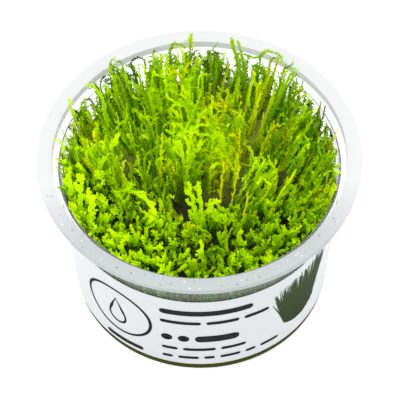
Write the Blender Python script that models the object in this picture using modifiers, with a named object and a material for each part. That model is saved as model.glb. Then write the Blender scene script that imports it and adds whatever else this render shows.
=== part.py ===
"""A clump of aquarium moss growing in a clear plastic cup.

The cup is a thin turned tub with a flat sealing rim. A white label wraps its wall. Inside, a disc of
nutrient gel carries the moss: one dense mat of shoots, low at the front, hollow in the middle and high
at the back, and a ring of single shoots that stand out of the mat above the rim.

Units are metres, Z is up, and the origin is the centre of the cup's foot. The front is towards -Y.
"""

import math
import random

import bmesh
import bpy
from mathutils import Vector

MM = 0.001

# Cup
CUP_HEIGHT = 41.5 * MM
RIM_RADIUS = 35.0 * MM
RIM_OPENING_RADIUS = 31.65 * MM
RIM_THICKNESS = 0.55 * MM
SKIRT_DEPTH = 1.0 * MM
STEP_HEIGHT = 39.2 * MM
WALL = 0.5 * MM
FOOT_WALL_RADIUS = 27.9 * MM
WALL_TAPER = 0.0686
FOOT_CORNER = 1.5 * MM
FOOT_RECESS = 0.6 * MM
FOOT_RECESS_RADIUS = 22.0 * MM
ROUND_STEPS = 72

# Label
LABEL_BOTTOM = 2.6 * MM
LABEL_TOP = 30.0 * MM
LABEL_THICKNESS = 0.12 * MM
LABEL_GAP = 0.08 * MM
LABEL_SEAM_STEPS = 1
LABEL_SEAM_TURN = math.radians(110)

# Gel
GEL_TOP = 6.5 * MM
CLEARANCE = 0.3 * MM

# Moss mat
MAT_RADIUS = 29.6 * MM
FRONT_LEVEL = 32.0 * MM
BACK_LEVEL = 40.5 * MM
EDGE_RISE = 2.5 * MM
STEP_START_Y = -6.0 * MM
STEP_LENGTH_Y = 15.0 * MM
HOLLOW_DEPTH = 7.0 * MM
HOLLOW_CENTRE = Vector((-2.0 * MM, 0.0))
HOLLOW_RADIUS = 8.0 * MM
LUMP_HEIGHT = 0.7 * MM

# Single shoots, in two rows round the back and the sides
SHOOT_ROWS = (
    {"count": 16, "radius": 26.0 * MM, "spread": math.radians(232)},
    {"count": 12, "radius": 19.5 * MM, "spread": math.radians(200)},
)
SHOOT_THICK = 0.55 * MM
SHOOT_LENGTH = (4.5 * MM, 8.0 * MM)
SHOOT_POINTS = 9
SHOOT_SEED = 11

MOSS_GREEN = (0.16, 0.34, 0.02, 1.0)
SHOOT_GREEN = (0.30, 0.50, 0.03, 1.0)


def clear_scene():
    for obj in list(bpy.data.objects):
        bpy.data.objects.remove(obj, do_unlink=True)


def new_collection(name):
    made = bpy.data.collections.new(name)
    bpy.context.scene.collection.children.link(made)
    return made


def new_material(name, colour, roughness, transmission=0.0):
    made = bpy.data.materials.new(name)
    made.use_nodes = True
    shader = made.node_tree.nodes["Principled BSDF"]
    shader.inputs["Base Color"].default_value = colour
    shader.inputs["Roughness"].default_value = roughness
    shader.inputs["Metallic"].default_value = 0.0
    shader.inputs["Transmission Weight"].default_value = transmission
    return made


def outer_wall_radius(height):
    """Radius of the cup's tapered outer wall at a height above the foot."""
    return FOOT_WALL_RADIUS + WALL_TAPER * height


def corner_arc(centre_radius, centre_height, radius, start_deg, end_deg, steps=4):
    """Points of an arc in the profile plane, from one angle to another."""
    points = []
    for i in range(steps + 1):
        angle = math.radians(start_deg + (end_deg - start_deg) * i / steps)
        points.append((centre_radius + radius * math.cos(angle), centre_height + radius * math.sin(angle)))
    return points


def turned(name, profile, collection, material, turn=2 * math.pi, steps=ROUND_STEPS):
    """A solid or a sheet turned about Z from (radius, height) points, outer side running down."""
    mesh = bpy.data.meshes.new(name)
    points = [(radius, 0.0, height) for radius, height in profile]
    edges = [(i, i + 1) for i in range(len(points) - 1)]
    mesh.from_pydata(points, edges, [])
    obj = bpy.data.objects.new(name, mesh)
    collection.objects.link(obj)
    obj.data.materials.append(material)
    screw = obj.modifiers.new("turn", "SCREW")
    screw.angle = turn
    screw.steps = steps
    screw.render_steps = steps
    screw.use_merge_vertices = True
    screw.merge_threshold = 0.00001
    screw.use_smooth_shade = True
    return obj


def cup_profile():
    """The cup's section, from the middle of its floor up the inside, over the rim and down the outside."""
    floor = FOOT_RECESS + WALL + 0.1 * MM
    inner_corner = FOOT_CORNER - WALL / 2
    inner_foot = outer_wall_radius(floor + inner_corner) - WALL
    outer_foot = outer_wall_radius(FOOT_CORNER)
    step_inner = outer_wall_radius(STEP_HEIGHT) - WALL
    edge = 0.2 * MM
    profile = [(0.0, floor)]
    profile += corner_arc(inner_foot - inner_corner, floor + inner_corner, inner_corner, -90, 0)
    profile += [
        (step_inner, STEP_HEIGHT),
        (RIM_OPENING_RADIUS, STEP_HEIGHT + WALL),
        (RIM_OPENING_RADIUS, CUP_HEIGHT - edge),
        (RIM_OPENING_RADIUS + edge, CUP_HEIGHT),
        (RIM_RADIUS - edge, CUP_HEIGHT),
        (RIM_RADIUS, CUP_HEIGHT - edge),
        (RIM_RADIUS, CUP_HEIGHT - SKIRT_DEPTH),
        (RIM_RADIUS - WALL, CUP_HEIGHT - SKIRT_DEPTH),
        (RIM_RADIUS - WALL, CUP_HEIGHT - RIM_THICKNESS),
        (RIM_OPENING_RADIUS + WALL, CUP_HEIGHT - RIM_THICKNESS),
        (RIM_OPENING_RADIUS + WALL, STEP_HEIGHT),
        (outer_wall_radius(STEP_HEIGHT - WALL), STEP_HEIGHT - WALL),
    ]
    profile += corner_arc(outer_foot - FOOT_CORNER, FOOT_CORNER, FOOT_CORNER, 0, -90)
    profile += [
        (FOOT_RECESS_RADIUS + FOOT_RECESS, 0.0),
        (FOOT_RECESS_RADIUS, FOOT_RECESS),
        (0.0, FOOT_RECESS),
    ]
    return profile


def make_cup(collection):
    clear = new_material("clear_plastic", (0.93, 0.95, 0.95, 1.0), 0.12, 0.9)
    return turned("cup", cup_profile(), collection, clear)


def make_label(collection):
    """The wrapped label, with a narrow open seam, one facet wide, towards the back."""
    white = new_material("label_film", (0.86, 0.87, 0.88, 1.0), 0.4)
    profile = [
        (outer_wall_radius(LABEL_TOP) + LABEL_GAP, LABEL_TOP),
        (outer_wall_radius(LABEL_BOTTOM) + LABEL_GAP, LABEL_BOTTOM),
    ]
    steps = ROUND_STEPS - LABEL_SEAM_STEPS
    label = turned("label", profile, collection, white, 2 * math.pi * steps / ROUND_STEPS, steps)
    label.rotation_euler.z = LABEL_SEAM_TURN
    shell = label.modifiers.new("film", "SOLIDIFY")
    shell.thickness = LABEL_THICKNESS
    shell.offset = 1.0
    return label


def make_gel(collection):
    """The disc of nutrient gel on the cup's floor."""
    gel = new_material("growing_gel", (0.20, 0.19, 0.05, 1.0), 0.2, 0.3)
    bottom = FOOT_RECESS + WALL + 0.1 * MM + CLEARANCE
    chamfer = FOOT_CORNER
    inner = outer_wall_radius(0.0) - WALL - CLEARANCE
    profile = [
        (0.0, GEL_TOP),
        (inner + WALL_TAPER * GEL_TOP, GEL_TOP),
        (inner + WALL_TAPER * (bottom + chamfer), bottom + chamfer),
        (inner - chamfer, bottom),
        (0.0, bottom),
    ]
    return turned("growing_gel", profile, collection, gel)


def smooth_step(value):
    value = min(1.0, max(0.0, value))
    return value * value * (3 - 2 * value)


def moss_level(x, y):
    """Height of the mat's top: low in front, a hollow in the middle, high behind and at the edge."""
    share = math.hypot(x, y) / MAT_RADIUS
    back = smooth_step((y - STEP_START_Y) / STEP_LENGTH_Y)
    level = FRONT_LEVEL + (BACK_LEVEL - FRONT_LEVEL) * back + EDGE_RISE * share * share
    away = (Vector((x, y)) - HOLLOW_CENTRE).length / HOLLOW_RADIUS
    return level - HOLLOW_DEPTH * math.exp(-away * away)


def mat_lump(angle, share):
    """Small tufted waves on the mat's top, fading to nothing at its middle and its edge."""
    fade = 4 * share * (1 - share)
    return LUMP_HEIGHT * fade * math.sin(9 * angle + 7 * share) * math.cos(5 * angle - 11 * share)


def make_mat(collection):
    """The dense clump: a ball of quads moulded into the cup, with flat bottom, tapered side and waved top."""
    green = new_material("moss_mat", MOSS_GREEN, 0.7)
    mesh = bpy.data.meshes.new("moss_mat")
    shape = bmesh.new()
    bmesh.ops.create_uvsphere(shape, u_segments=48, v_segments=28, radius=1.0)
    bottom = GEL_TOP + CLEARANCE
    cap = 0.45
    cap_radius = math.sqrt(1 - cap * cap)
    for vertex in shape.verts:
        x, y, z = vertex.co
        angle = math.atan2(y, x)
        share = min(1.0, math.hypot(x, y) / cap_radius) if abs(z) > cap else 1.0
        across = MAT_RADIUS * share
        top = moss_level(across * math.cos(angle), across * math.sin(angle)) + mat_lump(angle, share)
        side = min(1.0, max(0.0, (z + cap) / (2 * cap)))
        height = bottom + (top - bottom) * side
        wall = outer_wall_radius(min(height, STEP_HEIGHT)) - WALL - CLEARANCE
        radius = min(across, wall * share)
        vertex.co = (radius * math.cos(angle), radius * math.sin(angle), height)
    shape.to_mesh(mesh)
    shape.free()
    mesh.materials.append(green)
    obj = bpy.data.objects.new("moss_mat", mesh)
    collection.objects.link(obj)
    mesh.shade_smooth()
    return obj


def shoot_path(root, outward, length, lean, hook, rng):
    """Points up one shoot: out of the mat, leaning outward, and bent over sideways near its tip."""
    sideways = Vector((-outward.y, outward.x, 0.0)) * rng.choice((-1, 1))
    up = Vector((0.0, 0.0, 1.0))
    points = []
    for i in range(SHOOT_POINTS):
        t = i / (SHOOT_POINTS - 1)
        bend = max(0.0, t - 0.45) / 0.55
        rise = up * (length * (t - 0.35 * hook * bend * bend))
        drift = outward * (length * lean * t) + sideways * (length * 0.4 * hook * bend * bend)
        points.append(root + rise + drift)
    return points


def make_shoot(name, points, collection, material):
    """A tapered round stem along its points, with closed ends."""
    curve = bpy.data.curves.new(name, "CURVE")
    curve.dimensions = "3D"
    curve.bevel_depth = SHOOT_THICK
    curve.bevel_resolution = 1
    curve.use_fill_caps = True
    spline = curve.splines.new("POLY")
    spline.points.add(len(points) - 1)
    for i, point in enumerate(points):
        t = i / (len(points) - 1)
        spline.points[i].co = (*point, 1.0)
        spline.points[i].radius = 0.75 + 0.45 * math.sin(math.pi * t) - 0.25 * t
    curve.materials.append(material)
    obj = bpy.data.objects.new(name, curve)
    collection.objects.link(obj)
    return obj


def make_shoots(collection):
    """Single shoots in two rows, each its own stem."""
    green = new_material("moss_shoot", SHOOT_GREEN, 0.6)
    rng = random.Random(SHOOT_SEED)
    number = 0
    for row in SHOOT_ROWS:
        for i in range(row["count"]):
            number += 1
            turn = row["spread"] * ((i + 0.5) / row["count"] - 0.5)
            outward = Vector((math.sin(turn), math.cos(turn), 0.0))
            place = outward * row["radius"]
            standing = CLEARANCE + SHOOT_THICK + LUMP_HEIGHT
            root = Vector((place.x, place.y, moss_level(place.x, place.y) + standing))
            backness = 0.5 + 0.5 * math.cos(turn)
            length = SHOOT_LENGTH[0] + (SHOOT_LENGTH[1] - SHOOT_LENGTH[0]) * backness * rng.uniform(0.6, 1.0)
            points = shoot_path(root, outward, length, rng.uniform(0.0, 0.22), rng.uniform(0.3, 1.0), rng)
            make_shoot(f"shoot_{number:02d}", points, collection, green)


def main():
    clear_scene()
    parts = new_collection("moss_clump_in_cup")
    make_cup(parts)
    make_label(parts)
    make_gel(parts)
    make_mat(parts)
    make_shoots(parts)


main()
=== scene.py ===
"""A clump of aquarium moss in its clear tub: the looks, laid out as a Blender add-on.

Lengths are in metres, and the moss is grown in millimetres and scaled once. Z is up, the front is towards
-Y, and an angle round the tub is measured from the back (+Y) towards the right (+X).
"""

import math
import random

import bmesh
import bpy
from mathutils import Matrix, Vector


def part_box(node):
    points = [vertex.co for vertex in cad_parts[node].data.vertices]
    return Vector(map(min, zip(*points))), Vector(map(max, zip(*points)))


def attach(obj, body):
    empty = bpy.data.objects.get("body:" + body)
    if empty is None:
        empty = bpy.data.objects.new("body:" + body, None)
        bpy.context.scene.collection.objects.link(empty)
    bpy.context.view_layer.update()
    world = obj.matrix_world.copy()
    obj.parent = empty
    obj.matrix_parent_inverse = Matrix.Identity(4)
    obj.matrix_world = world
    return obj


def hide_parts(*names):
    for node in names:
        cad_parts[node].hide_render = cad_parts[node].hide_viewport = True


bl_info = {
    "name": "Moss tub maker",
    "version": (1, 0, 0),
    "blender": (4, 5, 0),
    "location": "View3D > Sidebar > Moss tub",
    "description": "Makes a clear tub of living moss, its label and its studio",
    "category": "Add Mesh",
}

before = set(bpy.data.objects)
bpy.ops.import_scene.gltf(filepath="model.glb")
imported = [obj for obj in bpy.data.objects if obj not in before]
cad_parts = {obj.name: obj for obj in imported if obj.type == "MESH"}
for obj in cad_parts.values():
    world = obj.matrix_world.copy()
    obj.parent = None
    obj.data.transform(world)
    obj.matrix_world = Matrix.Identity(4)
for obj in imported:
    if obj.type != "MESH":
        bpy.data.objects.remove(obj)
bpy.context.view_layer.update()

MM = 0.001
BLACK = (0.0, 0.0, 0.0, 1.0)
WHITE = (1.0, 1.0, 1.0, 1.0)

# Places taken from the frame
CUP_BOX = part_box("cup")
LABEL_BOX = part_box("label")
GEL_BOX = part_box("growing_gel")
CUP_HEIGHT = CUP_BOX[1].z
RIM_RADIUS = CUP_BOX[1].x
LABEL_LOW = LABEL_BOX[0].z
LABEL_HIGH = LABEL_BOX[1].z
GEL_TOP = GEL_BOX[1].z
RIM_MM = CUP_HEIGHT / MM
SHOOT_NODES = sorted(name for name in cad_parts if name.startswith("shoot_"))

# The tub's section
RIM_OPENING_RADIUS = 31.65 * MM
RIM_THICKNESS = 0.55 * MM
SKIRT_DEPTH = 1.0 * MM
STEP_HEIGHT = 39.2 * MM
WALL = 0.5 * MM
FOOT_WALL_RADIUS = 27.9 * MM
WALL_TAPER = 0.0686
FOOT_CORNER = 1.5 * MM
FOOT_RECESS = 0.6 * MM
FOOT_RECESS_RADIUS = 22.0 * MM
ROUND_STEPS = 192

# The label; the gel shows under its trimmed lower edge
LABEL_THICKNESS = 0.12 * MM
LABEL_GAP = 0.08 * MM
LABEL_SEAM_ANGLE = math.radians(5)
LABEL_SEAM_TURN = math.radians(110)
INK_LIFT = 0.03 * MM
LABEL_TRIM = 0.55 * MM


# ---------------------------------------------------------------- small helpers

def smooth_step(value):
    """0 up to 0, 1 from 1 on, and a soft rise between."""
    value = min(1.0, max(0.0, value))
    return value * value * (3 - 2 * value)


def blend_values(low, high, share):
    """The value at a share of the way from low to high."""
    return low + (high - low) * share


def around(turn, radius, height):
    """The point at an angle from the back, a radius and a height."""
    return Vector((radius * math.sin(turn), radius * math.cos(turn), height))


def outer_wall_radius(height):
    """Radius of the tub's tapered outer wall at a height above the foot."""
    return FOOT_WALL_RADIUS + WALL_TAPER * height


def inner_wall_mm(height):
    """Radius of the tub's inside in millimetres, at a height in millimetres."""
    return (outer_wall_radius(height * MM) - WALL) / MM


def link(obj):
    """Puts an object in the scene."""
    bpy.context.scene.collection.objects.link(obj)
    return obj


def new_piece(name, vertices, faces, smooth=True):
    """An object of its own mesh, in the scene."""
    mesh = bpy.data.meshes.new(name)
    mesh.from_pydata(vertices, [], faces)
    mesh.update()
    if smooth:
        mesh.shade_smooth()
    return link(bpy.data.objects.new(name, mesh))


def fix(piece, slot, *nodes):
    """Ties a finished piece to the tub's one body and hides the plain solids it stands for; the finish slot
    it is given is not used.
    """
    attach(piece, "root")
    if nodes:
        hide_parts(*nodes)
    return piece


def flatten(obj):
    """Turns an object's evaluated shape into its plain mesh and drops its modifiers."""
    graph = bpy.context.evaluated_depsgraph_get()
    mesh = bpy.data.meshes.new_from_object(obj.evaluated_get(graph), depsgraph=graph)
    obj.modifiers.clear()
    obj.data = mesh
    return obj


def turned(name, profile, steps=ROUND_STEPS, start=0.0, sweep=2 * math.pi, sharp=35):
    """A shape turned about Z from (radius, height) points."""
    mesh = bpy.data.meshes.new(name)
    vertices = [(radius, 0.0, height) for radius, height in profile]
    mesh.from_pydata(vertices, [(i, i + 1) for i in range(len(vertices) - 1)], [])
    obj = link(bpy.data.objects.new(name, mesh))
    screw = obj.modifiers.new("turn", "SCREW")
    screw.angle = sweep
    screw.steps = steps
    screw.render_steps = steps
    screw.use_merge_vertices = True
    screw.merge_threshold = 0.00001
    screw.use_smooth_shade = True
    flatten(obj)
    obj.data.transform(Matrix.Rotation(start, 4, "Z"))
    obj.data.set_sharp_from_angle(angle=math.radians(sharp))
    return obj


def corner_arc(centre_radius, centre_height, radius, start_deg, end_deg, steps=6):
    """(Radius, height) points on an arc, for a rounded corner of a profile."""
    points = []
    for i in range(steps + 1):
        angle = math.radians(start_deg + (end_deg - start_deg) * i / steps)
        points.append((centre_radius + radius * math.cos(angle), centre_height + radius * math.sin(angle)))
    return points


# ---------------------------------------------------------------- node trees

class Socket:
    """A node's output that Python arithmetic can use: each operation adds a Math node."""

    def __init__(self, tree, output):
        self.tree = tree
        self.output = output

    def join(self, operation, first, second):
        return self.tree.add("ShaderNodeMath", {"operation": operation}, {0: first, 1: second})

    def __add__(self, other):
        return self.join("ADD", self, other)

    def __radd__(self, other):
        return self.join("ADD", other, self)

    def __sub__(self, other):
        return self.join("SUBTRACT", self, other)

    def __rsub__(self, other):
        return self.join("SUBTRACT", other, self)

    def __mul__(self, other):
        return self.join("MULTIPLY", self, other)

    def __rmul__(self, other):
        return self.join("MULTIPLY", other, self)

    def __truediv__(self, other):
        return self.join("DIVIDE", self, other)

    def __mod__(self, other):
        return self.join("MODULO", self, other)

    def __pow__(self, other):
        return self.join("POWER", self, other)

    def least(self, other):
        return self.join("MINIMUM", self, other)

    def most(self, other):
        return self.join("MAXIMUM", self, other)

    def held(self):
        """The value held between 0 and 1."""
        return self.most(0.0).least(1.0)

    def rise(self, start, span):
        """0 up to a start, then rising to 1 over a span."""
        return ((self - start) / span).held()

    def sine(self):
        return self.join("SINE", self, 0.0)

    def cosine(self):
        return self.join("COSINE", self, 0.0)

    def part(self, name):
        """One of x, y and z of a vector."""
        return self.tree.add("ShaderNodeSeparateXYZ", {}, {0: self}, name)


class Tree:
    """A node tree that is built one node at a time."""

    def __init__(self, tree):
        self.tree = tree

    def feed(self, socket, value):
        if isinstance(value, Socket):
            self.tree.links.new(value.output, socket)
        else:
            socket.default_value = value

    def add(self, kind, settings, sockets, output=0):
        """Adds a node: its settings come first, then the values or links of its sockets."""
        node = self.tree.nodes.new(kind)
        for name, value in settings.items():
            if name == "stops":
                self.set_stops(node.color_ramp, value)
            else:
                setattr(node, name, value)
        for key, value in sockets.items():
            self.feed(node.inputs[key], value)
        return Socket(self, node.outputs[output]) if len(node.outputs) else node

    def set_stops(self, ramp, stops):
        while len(ramp.elements) < len(stops):
            ramp.elements.new(0.5)
        for element, (position, colour) in zip(ramp.elements, stops):
            element.position = position
            element.color = colour

    def scaled(self, vector, factor):
        return self.add("ShaderNodeVectorMath", {"operation": "SCALE"}, {0: vector, "Scale": factor})

    def summed(self, first, second):
        return self.add("ShaderNodeVectorMath", {"operation": "ADD"}, {0: first, 1: second})

    def crossed(self, first, second):
        return self.add("ShaderNodeVectorMath", {"operation": "CROSS_PRODUCT"}, {0: first, 1: second})


class Finish(Tree):
    """A material under construction."""

    def __init__(self, name):
        self.material = bpy.data.materials.new(name)
        self.material.use_nodes = True
        super().__init__(self.material.node_tree)
        self.tree.nodes.clear()

    def place(self):
        return self.add("ShaderNodeTexCoord", {}, {}, "Object")

    def trait(self, name):
        """A number that the piece's points carry."""
        return self.add("ShaderNodeAttribute", {"attribute_name": name}, {}, "Fac")

    def noise(self, scale, detail=3.0, roughness=0.5, where=None):
        sockets = {
            "Vector": where or self.place(),
            "Scale": scale,
            "Detail": detail,
            "Roughness": roughness,
        }
        return self.add("ShaderNodeTexNoise", {}, sockets)

    def ramp(self, factor, stops):
        return self.add("ShaderNodeValToRGB", {"stops": stops}, {"Fac": factor})

    def mixed(self, factor, first, second, way="MIX"):
        settings = {"data_type": "RGBA", "blend_type": way}
        return self.add("ShaderNodeMix", settings, {0: factor, 6: first, 7: second}, 2)

    def bump(self, height, strength, distance):
        return self.add("ShaderNodeBump", {}, {"Height": height, "Strength": strength, "Distance": distance})

    def principled(self, **sockets):
        named = {key.replace("_", " "): value for key, value in sockets.items()}
        return self.add("ShaderNodeBsdfPrincipled", {}, named)

    def mixed_shaders(self, factor, first, second):
        return self.add("ShaderNodeMixShader", {}, {0: factor, 1: first, 2: second})

    def done(self, shader):
        self.add("ShaderNodeOutputMaterial", {}, {"Surface": shader})
        return self.material


def new_group(name, inputs):
    """A geometry node tree with its named inputs, and a way to ask for them."""
    group = bpy.data.node_groups.new(name, "GeometryNodeTree")
    group.interface.new_socket("Geometry", in_out="INPUT", socket_type="NodeSocketGeometry")
    for label, kind in inputs:
        group.interface.new_socket(label, in_out="INPUT", socket_type=kind)
    group.interface.new_socket("Geometry", in_out="OUTPUT", socket_type="NodeSocketGeometry")
    tree = Tree(group)
    entry = group.nodes.new("NodeGroupInput")
    return tree, lambda label: Socket(tree, entry.outputs[label])


def end_group(tree, geometry, material):
    """Makes the copies real, gives them their material and closes the tree."""
    real = tree.add("GeometryNodeRealizeInstances", {}, {0: geometry})
    finished = tree.add("GeometryNodeSetMaterial", {}, {"Geometry": real, "Material": material})
    leave = tree.tree.nodes.new("NodeGroupOutput")
    tree.tree.links.new(finished.output, leave.inputs[0])


def set_input(modifier, name, value):
    """Sets a modifier's input by its name."""
    for item in modifier.node_group.interface.items_tree:
        if item.name == name and item.in_out == "INPUT":
            modifier[item.identifier] = value
            return
    raise KeyError(name)


def grow_nodes(obj, group, values):
    """Runs a geometry node tree on an object and keeps only the mesh it makes."""
    modifier = obj.modifiers.new("grow", "NODES")
    modifier.node_group = group
    for name, value in values.items():
        set_input(modifier, name, value)
    return flatten(obj)


def opaque(colour):
    """A colour of three numbers with full alpha."""
    return (colour[0], colour[1], colour[2], 1.0)


def scaled_colour(colour, factor):
    """A lighter or darker colour, with full alpha."""
    return opaque(tuple(factor * c for c in colour))


# ---------------------------------------------------------------- settings

def colour_setting(name, description, default):
    return bpy.props.FloatVectorProperty(
        name=name, description=description, default=default, subtype="COLOR")


def length_setting(name, description, default):
    return bpy.props.FloatProperty(name=name, description=description, default=default, unit="LENGTH")


def angle_setting(name, description, degrees):
    default = math.radians(degrees)
    return bpy.props.FloatProperty(name=name, description=description, default=default, unit="ROTATION")


def count_setting(name, description, default):
    return bpy.props.IntProperty(name=name, description=description, default=default)


class TubSettings(bpy.types.PropertyGroup):
    wall: length_setting("Wall", "Thickness of the plastic", WALL)
    haze: bpy.props.FloatProperty(
        name="Rim haze", description="How milky the sealing rim is", default=0.94, subtype="FACTOR")
    tint: colour_setting("Tint", "Colour of the clear plastic", (0.965, 0.985, 0.99))
    residue_count: count_setting("Residue dots", "Bits of torn seal left on the rim", 46)


class LabelSettings(bpy.types.PropertyGroup):
    paper: colour_setting("Film", "Colour of the label film", (0.47, 0.485, 0.50))
    ink: colour_setting("Ink", "Colour of the printed bars", (0.010, 0.011, 0.013))
    tuft: colour_setting("Tuft ink", "Colour of the printed tuft", (0.022, 0.034, 0.012))
    tuft_strokes: count_setting("Tuft strokes", "Printed blades in the tuft", 420)


class MossSettings(bpy.types.PropertyGroup):
    leaf_length: length_setting("Leaf length", "Length of a full leaf", 0.92 * MM)
    leaf_gap: length_setting("Leaf gap", "Distance from one leaf to the next along a stem", 0.17 * MM)
    leaf_angle: angle_setting("Leaf angle", "How far a leaf stands out from its stem", 33)
    tip_taper: length_setting("Tip taper", "Distance over which a frond narrows to its tip", 1.6 * MM)
    stem_radius: length_setting("Stem radius", "Radius of a stem", 0.13 * MM)
    tip: colour_setting("Tip", "Colour of the growing tips", (0.83, 1.0, 0.0))
    young: colour_setting("Young", "Colour just below the tips", (0.58, 0.87, 0.0))
    leafy: colour_setting("Leaf", "Colour of the grown leaves", (0.285, 0.52, 0.0))
    shaded: colour_setting("Shaded", "Colour of the shaded leaves", (0.080, 0.20, 0.0))
    old: colour_setting("Old", "Colour of the old growth", (0.030, 0.020, 0.006))
    yellow: colour_setting("Yellow", "Colour of the yellowed stems", (0.92, 0.82, 0.0))


class StageSettings(bpy.types.PropertyGroup):
    elevation: angle_setting("Elevation", "Camera height angle", 54.1)
    distance: length_setting("Distance", "Camera distance from the rim", 0.6)
    lens: bpy.props.FloatProperty(
        name="Lens", description="Focal length in mm", default=251.7)
    roll: angle_setting("Roll", "Camera roll", -0.9)
    world_light: bpy.props.FloatProperty(name="Room light", description="Even light all round", default=0.85)
    key_power: bpy.props.FloatProperty(
        name="Key light", description="Power of the soft box", default=6.0)
    floor_glow: bpy.props.FloatProperty(
        name="Floor glow", description="Light from under the white floor", default=0.35)
    floor: colour_setting("Floor", "Colour of the floor", (0.95, 0.95, 0.95))


# ---------------------------------------------------------------- the tub

def tub_profile(wall):
    """The tub's section: up the inside from the middle of the floor, over the rim and down the outside."""
    floor = FOOT_RECESS + wall + 0.1 * MM
    inner_corner = FOOT_CORNER - wall / 2
    inner_foot = outer_wall_radius(floor + inner_corner) - wall
    outer_foot = outer_wall_radius(FOOT_CORNER)
    edge = 0.2 * MM
    top = CUP_HEIGHT
    profile = [(0.0, floor)]
    profile += corner_arc(inner_foot - inner_corner, floor + inner_corner, inner_corner, -90, 0)
    profile += [
        (outer_wall_radius(STEP_HEIGHT) - wall, STEP_HEIGHT),
        (RIM_OPENING_RADIUS, STEP_HEIGHT + wall),
    ]
    profile += corner_arc(RIM_OPENING_RADIUS + edge, top - edge, edge, 180, 90, 3)
    profile += corner_arc(RIM_RADIUS - edge, top - edge, edge, 90, 0, 3)
    profile += [
        (RIM_RADIUS, top - SKIRT_DEPTH),
        (RIM_RADIUS - wall, top - SKIRT_DEPTH),
        (RIM_RADIUS - wall, top - RIM_THICKNESS),
        (RIM_OPENING_RADIUS + wall, top - RIM_THICKNESS),
        (RIM_OPENING_RADIUS + wall, STEP_HEIGHT),
        (outer_wall_radius(STEP_HEIGHT - wall), STEP_HEIGHT - wall),
    ]
    profile += corner_arc(outer_foot - FOOT_CORNER, FOOT_CORNER, FOOT_CORNER, 0, -90)
    profile += [
        (FOOT_RECESS_RADIUS + FOOT_RECESS, 0.0),
        (FOOT_RECESS_RADIUS, FOOT_RECESS),
        (0.0, FOOT_RECESS),
    ]
    return profile


# Where the plastic clouds over, where its foot takes the gel's colour, and the rim's groove and outer edge,
# which get painted shade
HAZE_FROM = 35.5 * MM
HAZE_SPAN = 3.0 * MM
WALL_HAZE = 0.03
SHOULDER_HAZE = 0.20
FOOT_BAND_TOP = 2.6 * MM
FOOT_BAND_FADE = 0.3 * MM
GROOVE_RADIUS = RIM_OPENING_RADIUS + 0.7 * MM
GROOVE_WIDTH = 0.2 * MM
EDGE_RADIUS = RIM_RADIUS - 0.30 * MM
EDGE_WIDTH = 0.2 * MM
MILKY_BACK = (0.375, 0.382, 0.384, 1.0)
MILKY_FRONT = (0.360, 0.388, 0.388, 1.0)
MILKY_CLOUD = (0.35, 0.37, 0.375, 1.0)
PAINTED_EDGE_SHADE = (0.30, 0.33, 0.34, 1.0)
GEL_DARK = (0.020, 0.027, 0.002, 1.0)
GEL_LIGHT = (0.048, 0.060, 0.005, 1.0)


def clear_plastic(settings):
    """Clear moulded plastic: faintly scuffed, milky on the sealing rim, olive with gel at the foot; the
    milky rim has painted shade along its groove and outer edge and a painted glow at the back and sides.
    """
    finish = Finish("clear_plastic")
    place = finish.place()
    flat_x = place.part("X")
    flat_y = place.part("Y")
    radius = (flat_x * flat_x + flat_y * flat_y) ** 0.5
    rim = radius.rise(RIM_OPENING_RADIUS - 0.3 * MM, 0.6 * MM)
    height = place.part("Z")
    upper = height.rise(HAZE_FROM, HAZE_SPAN)
    foot = (1.0 - (height - FOOT_BAND_TOP) / FOOT_BAND_FADE).held()
    # Painted glow: the back and sides of the milky rim give off white light, fading to none at the front,
    # whose milky colour is a little cooler.
    front = (-1.0 * flat_y / radius * 1.4 - 0.3).held()
    # Painted shade: a darker line along the rim's outer edge and in its groove.
    outline = radius.rise(EDGE_RADIUS, EDGE_WIDTH)
    groove_shade = (1.0 - ((radius - GROOVE_RADIUS) ** 2.0) ** 0.5 / GROOVE_WIDTH).held()
    cloud = finish.noise(120.0, 2.0)
    scuff = finish.noise(1900.0, 2.0)
    skin = finish.bump(finish.noise(300.0, 1.0), 0.03, 0.0002)
    clear = finish.principled(
        Base_Color=opaque(settings.tint),
        Roughness=0.02 + scuff * 0.05,
        IOR=1.2,
        Transmission_Weight=1.0,
        Normal=skin,
    )
    plain = finish.mixed(front, MILKY_BACK, MILKY_FRONT)
    clouded = finish.mixed(cloud * 0.2, plain, MILKY_CLOUD)
    shade_edged = finish.mixed((outline * 0.7 + groove_shade * 0.2).held(), clouded, PAINTED_EDGE_SHADE)
    milky = finish.principled(
        Base_Color=shade_edged,
        Roughness=0.22 + scuff * 0.06,
        # This emission is the painted glow of the rim's back and sides.
        Emission_Color=finish.mixed((front * 1.6).held(), WHITE, BLACK),
        Emission_Strength=0.25,
        IOR=1.46,
        Normal=skin,
    )
    rim_haze = rim * (settings.haze - WALL_HAZE - SHOULDER_HAZE)
    haze = WALL_HAZE + upper * (SHOULDER_HAZE + rim_haze)
    gel_seen = finish.principled(
        Base_Color=finish.mixed(scuff, GEL_DARK, GEL_LIGHT),
        Roughness=0.5,
        Specular_IOR_Level=0.0,
    )
    hazy = finish.mixed_shaders(haze, clear, milky)
    return finish.done(finish.mixed_shaders(foot * 0.97, hazy, gel_seen))


def make_tub(settings):
    """The clear tub. It casts no shadow, because real clear plastic hardly does."""
    tub = turned("tub", tub_profile(settings.wall))
    tub.data.materials.append(clear_plastic(settings))
    tub.visible_shadow = False
    return fix(tub, "clear_plastic", "cup")


# The arc of the rim that keeps bits of the seal, and how large a bit is
RESIDUE_START = math.radians(195)
RESIDUE_SWEEP = math.radians(150)
RESIDUE_MARGIN = 0.5 * MM
RESIDUE_RADIUS = 0.36 * MM
RESIDUE_INPUTS = (
    ("Density", "NodeSocketFloat"),
    ("Bit size", "NodeSocketFloat"),
    ("Seed", "NodeSocketInt"),
    ("Finish", "NodeSocketMaterial"),
)


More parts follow.
